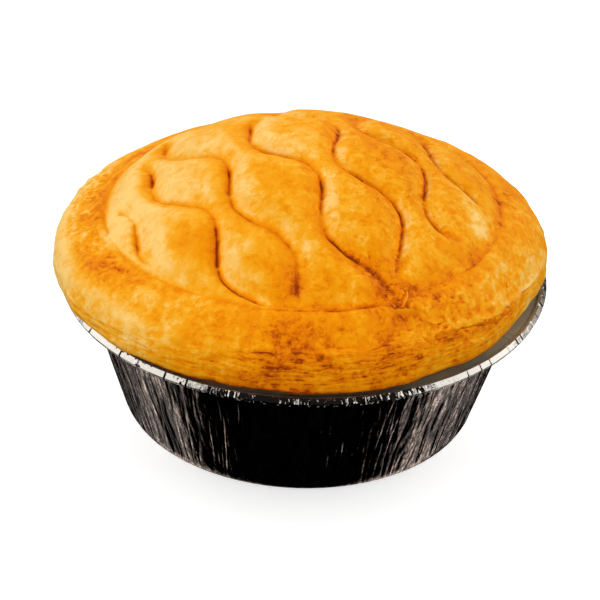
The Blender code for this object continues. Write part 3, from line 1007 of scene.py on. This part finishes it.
def flake_spots(crust):
    """Where the flakes lie, how their free edge points, how long and lifted they are, and the painted
    highlight on their lifted edge.
    """
    tree = BVHTree.FromObject(crust, bpy.context.evaluated_depsgraph_get())
    spots = []
    for zone in RIM_FLAKES + SIDE_FLAKES:
        draw = np.random.default_rng(zone.seed)
        spots.extend(drawn_spot(tree, zone, draw) for _ in range(zone.count))
    spots.extend(lone_spot(tree, flake) for flake in LONE_FLAKES)
    return [spot for spot in spots if spot is not None]


def drawn_spot(tree, zone, draw):
    """A drawn spot of the zone, or None where there is no crust."""
    azimuth = math.radians(draw.uniform(zone.start, zone.end))
    reach = draw.uniform(zone.inner, zone.outer) * MM
    out, up = Vector((math.cos(azimuth), math.sin(azimuth), 0)), Vector((0, 0, 1))
    centre = Vector((*LID_CENTRE, 0))
    if zone in RIM_FLAKES:
        start = centre + out * (ring_radius(azimuth) + reach) + up * FAR_AWAY
        place, normal, _, _ = tree.ray_cast(start, -up)
        free, spread = out, 1.6
    else:
        start = centre + out * FAR_AWAY + up * (seam_height(azimuth) + reach)
        place, normal, _, _ = tree.ray_cast(start, -out)
        free, spread = (up if draw.random() < 0.6 else -up), 0.35
    if place is None:
        return None
    twist = Matrix.Rotation(draw.normal(0, spread), 3, normal)
    size = zone.size * MM * draw.uniform(0.55, 1.35)
    lift = zone.lift * MM * draw.uniform(0.4, 1.3)
    narrow = draw.uniform(0.35, 0.75)
    lengths = (size * narrow * 0.6, size) if zone in SIDE_FLAKES else (size, size * narrow)
    return FlakeSpot(place, normal, twist @ free, lengths, lift, 0.0)


def lone_spot(tree, flake):
    start = Vector((flake.x * MM + LID_CENTRE[0], flake.y * MM + LID_CENTRE[1], FAR_AWAY))
    place, normal, _, _ = tree.ray_cast(start, Vector((0, 0, -1)))
    free = Matrix.Rotation(math.radians(flake.turn), 3, "Z") @ Vector((1, 0, 0))
    return FlakeSpot(place, normal, free, (flake.short * MM, flake.long * MM), flake.lift * MM, flake.pale)


def build_flakes(crust):
    spots = flake_spots(crust)
    flakes, blank = flake_blanks(len(spots))
    along, across, up = blank.T
    free_share = (along + 1) / 2
    shares = value_of(crust, "browning_and_painted_light")
    nearest = BVHTree.FromObject(crust, bpy.context.evaluated_depsgraph_get())
    points, tones = [], []
    for number, spot in enumerate(spots):
        forward = (spot.free - spot.normal * spot.free.dot(spot.normal)).normalized()
        sideways = spot.normal.cross(forward)
        length, width = spot.lengths
        edge = 1 + 0.35 * bumps(blank, 0.7, number * 3.1)
        rise = spot.lift * free_share ** 2 - FLAKE_SINK * (1 - free_share) + up * FLAKE_THICKNESS
        flake = np.outer(along * edge * length, forward) + np.outer(across * edge * width, sideways)
        points.append(np.array(spot.place) + flake + np.outer(rise, spot.normal))
        _, _, face, _ = nearest.find_nearest(spot.place)
        corner = crust.data.polygons[face].vertices[0]
        # Painted highlight on the lifted edge of each flake.
        edge_highlight = (0.14 + spot.pale) * free_share ** 2
        tones.append(shares[corner] + 0.04 - edge_highlight + 0.05 * noise.noise(spot.place / 0.002))
    move_to(flakes, np.concatenate(points))
    keep_value(flakes, "browning_and_painted_light", np.clip(np.concatenate(tones), 0, 1))
    finish_mesh(flakes, bpy.data.materials["golden_pastry"], 60)
    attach(flakes, "root")


def build_crust():
    crust = crust_blank()
    shape_crust(crust)
    fine_relief(crust)
    keep_value(crust, "browning_and_painted_light", browning_and_painted_light(crust))
    finish_mesh(crust, pastry_material(), 60)
    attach(crust, "root")
    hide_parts("pie")
    return crust


def finish_mesh(item, material, sharp_degrees):
    select_only(item)
    edit()
    bpy.ops.mesh.normals_make_consistent(inside=False)
    stop_editing()
    item.data.materials.clear()
    item.data.materials.append(material)
    select_only(item)
    bpy.ops.object.shade_smooth_by_angle(angle=math.radians(sharp_degrees))
    deselect_all()


# Foil tin


def foil_profile():
    """Radius, height and part of each row, from the base up the outside, over the bead and down the inside.

    The part is ON_BEAD, ON_FLANGE, or from 0 to 1 for how much the row is creased.
    """
    under = FLANGE_HEIGHT - FOIL_THICKNESS
    bead_start = BEAD_CENTRE_RADIUS - BEAD_RADIUS
    rows = [(BASE_RADIUS * 0.97, 0.0, 0.0), (BASE_RADIUS, 0.0, 0.0)]
    for k in range(FOIL_WALL_ROWS + 1):
        share = k / FOIL_WALL_ROWS
        height = mix(BASE_CORNER_HEIGHT, under, share)
        radius = BASE_RADIUS + BASE_CORNER_WIDTH + WALL_SLOPE * (height - BASE_CORNER_HEIGHT)
        rows.append((radius, height, min(1.0, share * 20, (1 - share) * 20)))
    top_of_wall = rows[-1][0]
    rows.append((mix(top_of_wall, bead_start, 0.5), under, 0.0))
    start = math.pi - math.asin((FLANGE_HEIGHT - BEAD_CENTRE_HEIGHT) / BEAD_RADIUS)
    turns = (-start, *BEAD_CORNERS, start)
    angles = [-start]
    for low, high in zip(turns, turns[1:]):
        angles.extend(np.linspace(low, high, 4)[1:])
    for angle in angles:
        reach = BEAD_RADIUS * flattened(angle)
        radius = BEAD_CENTRE_RADIUS + reach * math.cos(angle)
        part = ON_BEAD if angle <= BEAD_CORNERS[-1] else ON_FLANGE
        rows.append((radius, BEAD_CENTRE_HEIGHT + reach * math.sin(angle), part))
    for share in (0.25, 0.5, 0.75, 1.0):
        rows.append((mix(bead_start, top_of_wall - FOIL_THICKNESS, share), FLANGE_HEIGHT, ON_FLANGE))
    inner_corner = BASE_CORNER_HEIGHT + FOIL_THICKNESS
    rows.append((BASE_RADIUS + BASE_CORNER_WIDTH - FOIL_THICKNESS, inner_corner, 0.0))
    rows.append((BASE_RADIUS - FOIL_THICKNESS, FOIL_THICKNESS, 0.0))
    return np.array(rows)


def flattened(angle):
    """Reach of the rolled bead, which is pressed flat between its corners."""
    for low, high in zip(BEAD_CORNERS, BEAD_CORNERS[1:]):
        middle, half = (low + high) / 2, (high - low) / 2
        if abs(angle - middle) < half:
            return math.cos(half) / math.cos(angle - middle)
    return 1.0


def build_tin():
    profile = foil_profile()
    deselect_all()
    bpy.ops.mesh.primitive_circle_add(vertices=FOIL_DIVISIONS, radius=1, fill_type="TRIFAN")
    tin = bpy.context.object
    tin.name = "foil_dish"
    stack_rows(len(profile) - 1)
    code = places(tin)
    rows = np.rint(code[:, 2] / ROW_STEP).astype(int)
    azimuth = np.arctan2(code[:, 1], code[:, 0])
    centre = np.hypot(code[:, 0], code[:, 1]) < 0.5
    radius, height, part = profile[np.minimum(rows, len(profile) - 1)].T
    on_bead, on_flange = part == ON_BEAD, part == ON_FLANGE
    pleat_out, pleat_up = bead_pleats(azimuth, height)
    creases, crease_shade = foil_creases(azimuth, height, np.where(part <= 1, part, 0))
    radius = radius + creases + on_bead * pleat_out
    height = height + on_bead * pleat_up + on_flange * 0.5 * pleat_up
    radius[centre] = 0.0
    height[centre] = np.where(rows[centre] > 0, FOIL_THICKNESS, 0.0)
    move_to(tin, around(azimuth, radius, height))
    # Painted reflection of the crust on the flange at the left.
    crust_reflection = bell_at(azimuth, -150, 32)
    keep_value(tin, "crease", crease_shade)
    keep_value(tin, "flange", np.select([on_bead, on_flange], [0.5, 0.9 + 0.1 * crust_reflection], 0.0))
    finish_mesh(tin, foil_material(), 50)
    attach(tin, "root")
    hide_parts("foil_tin")


def foil_creases(azimuth, height, on_wall):
    """Sharp, nearly upright creases of the wall, with flat panels between them, and their shade."""
    lean = 0.0015 * bumps(around(azimuth, CREASING_RADIUS, height), (0.007, 0.007, 0.010), 3)
    ring = around(azimuth + lean / CREASING_RADIUS, CREASING_RADIUS, height * 0.12)
    crease_away, small_away = np.abs(bumps(ring, 0.0028, 13)), np.abs(bumps(ring, 0.0015, 23))
    crease, small = np.exp(-crease_away / 0.09), np.exp(-small_away / 0.14)
    quiet = np.maximum(bell_at(azimuth, -92, 24), 0.7 * bell_at(azimuth, -64, 12))
    here = mix(0.60, 1.0, smoothstep(-0.35, 0.05, bumps(ring, 0.008, 33))) * (1 - 0.70 * quiet)
    panels = WIDE_PANEL * bumps(ring, 0.0050, 63) + NARROW_PANEL * bumps(ring, 0.0022, 67)
    panels = panels * (1 - 0.6 * quiet)
    relief = PANEL_SWELL - (LONG_CREASE * crease + SHORT_CREASE * small) * here + panels
    relief = relief - CREASE_DEPTH * single_creases(azimuth, height, lean)
    shade = np.maximum(bell(crease_away, 0.21), 0.7 * bell(small_away, 0.20))
    shade = shade * here * mix(1.0, 1.55, bell_at(azimuth, -140, 25))
    return on_wall * relief, on_wall * shade


def single_creases(azimuth, height, lean):
    depth = np.zeros_like(azimuth)
    for line in CREASES:
        share = np.clip((height / MM - line.low) / (line.high - line.low), 0, 1)
        middle = np.radians(mix(line.foot, line.head, share)) + lean / CREASING_RADIUS / 2
        away = turn_difference(azimuth, middle) * CREASING_RADIUS
        shown = window(height, line.low * MM, line.high * MM, 0.0015)
        depth = np.maximum(depth, bell(away, CREASE_WIDTH) * shown)
    return depth


def bead_pleats(azimuth, height):
    """Narrow notches across the rolled bead, at uneven distances, and its gentle waves."""
    ring = around(azimuth, BEAD_CENTRE_RADIUS)
    notch = 1 - smoothstep(0.0, 0.035, np.abs(bumps(ring, 0.0052, 43)))
    ring[:, 2] = height
    tick = 1 - smoothstep(0.0, 0.085, np.abs(bumps(ring, 0.0016, 47)))
    front = window_at(azimuth, -87, -25, 28, 8)
    busy = smoothstep(0.05, 0.35, bumps(ring, 0.009, 57) - 0.20 + 0.8 * front)
    depth = NOTCH_DEPTH * notch + TICK_DEPTH * tick * busy
    waves = 0.00011 * bumps(ring, 0.0034, 53) + 0.00004 * bumps(ring, 0.0011, 59)
    return mix(0.25, 0.8, front) * waves - depth, 0.00007 * bumps(ring, 0.0060, 73) - 0.8 * depth


# Colours of the wall, the bead and the flange, and of the flange at the left with the crust's reflection
# painted on it.
FOIL_COLOURS = (
    (0.0, (0.43, 0.340, 0.300)),
    (0.5, (0.45, 0.425, 0.385)),
    (0.9, (0.34, 0.345, 0.240)),
    (1.0, (0.85, 0.450, 0.220)),
)


def foil_material():
    material, tree, shader = new_material("baked_foil", 0.24, metallic=1.0)
    place = add_node(tree, "ShaderNodeTexCoord").outputs["Object"]
    long = {"Vector": place, "Scale": (1, 1, 0.22)}
    upright = add_node(tree, "ShaderNodeMapping", long).outputs["Vector"]
    flange = attribute(tree, "flange")
    crinkle = noise_texture(tree, upright, 900, 4, 0.6, 0.6)
    relief = plus(tree, crinkle, times(tree, noise_texture(tree, place, 240, 3, 0.5), 2.0))
    bump = add_node(tree, "ShaderNodeBump", {"Height": relief, "Distance": 0.00015, "Strength": 0.55})
    tree.links.new(bump.outputs["Normal"], shader.inputs["Normal"])
    # Painted shade and glints of the wall's folds: panels and thin lines of the colour made brighter and
    # darker, not on the bead and flange.
    panels = map_range(tree, noise_texture(tree, upright, 300, 2), 0.42, 0.58, 0.50, 1.35)
    lines = map_range(tree, noise_texture(tree, upright, 1300, 2), 0.44, 0.56, 0.45, 1.60)
    # Painted shade in the creases.
    painted_shade_and_glints = map_range(tree, attribute(tree, "crease"), 0.15, 0.75, 1.0, 0.10)
    painted_shade_and_glints = times(tree, painted_shade_and_glints, mix_to_one(tree, times(tree, panels, lines), flange))
    values = {0: ramp(tree, flange, FOIL_COLOURS), "Scale": painted_shade_and_glints}
    colour = add_node(tree, "ShaderNodeVectorMath", values, operation="SCALE").outputs[0]
    tree.links.new(colour, shader.inputs["Base Color"])
    rough = map_range(tree, noise_texture(tree, place, 150, 3), 0.3, 0.7, 0.04, 0.09)
    rough = plus(tree, rough, map_range(tree, flange, 0.5, 0.9, 0.0, 0.30))
    tree.links.new(rough, shader.inputs["Roughness"])
    tree.links.new(map_range(tree, flange, 0.5, 0.9, 1.0, 0.35), shader.inputs["Metallic"])
    return material


# Stage


def add_camera():
    place = Vector((0, -math.cos(CAMERA_ELEVATION), math.sin(CAMERA_ELEVATION))) * CAMERA_DISTANCE
    data = bpy.data.cameras.new("photo_camera")
    data.lens = CAMERA_LENS
    data.sensor_width = SENSOR
    camera = bpy.data.objects.new("photo_camera", data)
    bpy.context.scene.collection.objects.link(camera)
    turn = (CAMERA_AIM - place).to_track_quat("-Z", "Y").to_matrix().to_4x4()
    camera.matrix_world = Matrix.Translation(place) @ turn @ Matrix.Rotation(CAMERA_ROLL, 4, "Z")
    bpy.context.scene.camera = camera


def add_softbox(name, place, size, power):
    data = bpy.data.lights.new(name, "AREA")
    data.shape = "RECTANGLE"
    data.size, data.size_y = size
    data.energy = power
    light = bpy.data.objects.new(name, data)
    light.location = place
    light.rotation_euler = (LIGHTS_AIM - Vector(place)).to_track_quat("-Z", "Y").to_euler()
    bpy.context.scene.collection.objects.link(light)
    return light


def add_stage():
    deselect_all()
    bpy.ops.mesh.primitive_plane_add(size=FLOOR_SIZE, location=(0, 0, 0))
    floor = bpy.context.object
    floor.name = "floor"
    material, tree, shader = new_material("pale_floor", 0.9)
    shader.inputs["Base Color"].default_value = (0.90, 0.90, 0.90, 1)
    shader.inputs["Specular IOR Level"].default_value = 0.0
    shader.inputs["Emission Color"].default_value = (1, 1, 1, 1)
    place = add_node(tree, "ShaderNodeTexCoord").outputs["Object"]
    away = add_node(tree, "ShaderNodeVectorMath", {0: place}, operation="LENGTH").outputs["Value"]
    tree.links.new(map_range(tree, away, 0.4, 1.6, 0.45, 1.0), shader.inputs["Emission Strength"])
    floor.data.materials.append(material)
    floor.visible_glossy = False
    floor.visible_diffuse = False
    add_softbox("key_left", (-0.74, 0.12, 0.57), (1.60, 0.90), 8.0)
    add_softbox("right", (0.76, 0.16, 0.60), (1.40, 0.90), 7.2)
    front = add_softbox("front_fill", (0.0, -0.80, 0.22), (0.70, 0.40), 4.2)
    front.visible_glossy = False
    add_surroundings()
    bpy.context.scene.view_settings.view_transform = "Standard"


def add_surroundings():
    """A dim room, darkest in front of the pie, with a paler table at its sides for the foil to mirror."""
    world = bpy.data.worlds.new("studio")
    bpy.context.scene.world = world
    world.use_nodes = True
    tree = world.node_tree
    direction = add_node(tree, "ShaderNodeTexCoord").outputs["Generated"]
    axes = add_node(tree, "ShaderNodeSeparateXYZ", {"Vector": direction}).outputs
    rise = map_range(tree, axes["Y"], 0.0, 0.24, 0.0012, 0.68)
    fall = map_range(tree, axes["Y"], 0.34, 0.60, 1.0, 0.008)
    bands = map_range(tree, noise_texture(tree, direction, 24.0, 3, 0.6), 0.45, 0.60, 0.01, 2.3)
    table = times(tree, times(tree, rise, fall), bands)
    room = map_range(tree, axes["Y"], -0.15, 0.55, 0.02, 0.80)
    above = map_range(tree, axes["Z"], -0.15, 0.0)
    brightness = plus(tree, times(tree, table, less(tree, 1.0, above)), times(tree, room, above))
    background = tree.nodes["Background"]
    background.inputs["Color"].default_value = (1.0, 0.95, 0.90, 1)
    tree.links.new(brightness, background.inputs["Strength"])


add_camera()
add_stage()
build_flakes(build_crust())
build_tin()
